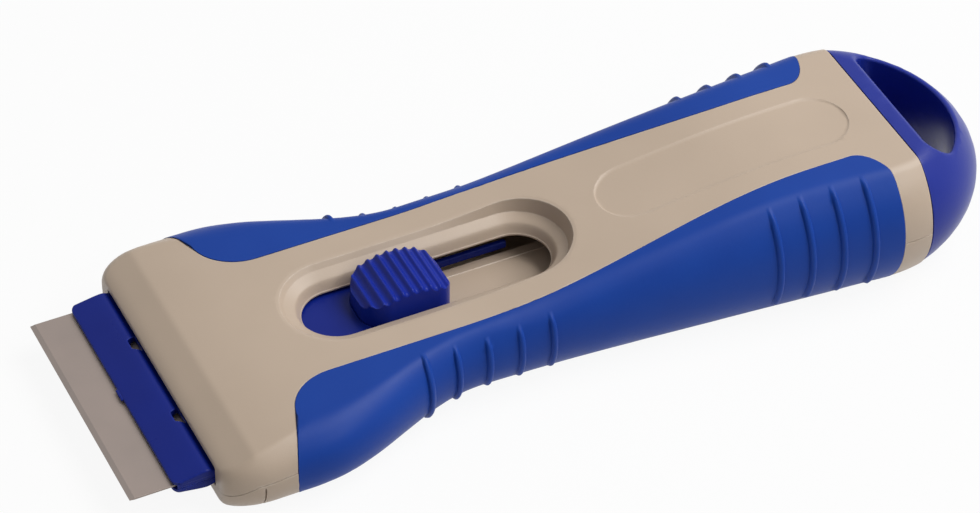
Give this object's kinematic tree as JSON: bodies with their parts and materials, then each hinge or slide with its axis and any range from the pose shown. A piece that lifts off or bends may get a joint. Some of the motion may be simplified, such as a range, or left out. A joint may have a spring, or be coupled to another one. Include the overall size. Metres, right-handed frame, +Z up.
{
  "type": "glass scraper",
  "caption": "Flat glass scraper with a sliding single-edge blade, a press knob, a two-shell casing with soft side grips, spare blades in the handle and a pull-off tail cap with a hang hole.",
  "frame": {"origin": "middle of the bounding box's underside: the belly's lowest line, where the casing meets the tail cap, is at Z = 0", "axes": "+X from the blade to the tail cap, +Y towards the left grip, +Z up through the knob"},
  "size_m": [0.1464, 0.0536, 0.021],
  "materials": {
    "beige_casing": "fine-grained satin",
    "soft_grip": "soft satin",
    "violet_cap": "semi-gloss",
    "violet_slide": "semi-gloss",
    "blade_steel": "fine ground with an oil film",
    "spring_steel": "drawn",
    "zinc_steel": "zinc plated"
  },
  "bodies": {
    "housing": {"upper_shell": "beige_casing", "lower_shell": "beige_casing", "grip_left": "soft_grip", "grip_right": "soft_grip", "shell_screw_1": "zinc_steel", "shell_screw_2": "zinc_steel", "shell_screw_3": "zinc_steel", "shell_screw_4": "zinc_steel", "spare_blade_1": "blade_steel", "spare_blade_2": "blade_steel", "spare_blade_3": "blade_steel", "spare_blade_4": "blade_steel", "spare_blade_5": "blade_steel", "spare_blade_spring": "spring_steel"},
    "carrier": {"blade_carrier": "violet_slide", "blade_clamp": "violet_slide", "clamp_pin": "spring_steel", "blade": "blade_steel", "knob_spring": "spring_steel"},
    "knob": {"thumb_knob": "violet_slide"},
    "cap": {"tail_cap": "violet_cap"}
  },
  "joints": [
    {"name": "carrier_slide", "type": "slide", "parent": "housing", "child": "carrier", "axis": [1, 0, 0], "range_m": [-0.0055, 0.0155]},
    {"name": "knob_press", "type": "slide", "parent": "carrier", "child": "knob", "axis": [0, 0, -1], "range_m": [0, 0.0008], "stiffness_N_per_m": 1500, "springref_m": -0.0005, "deforming": ["knob_spring"]},
    {"name": "cap_pull", "type": "slide", "parent": "housing", "child": "cap", "axis": [1, 0, 0], "range_m": [0, 0.014]}
  ]
}
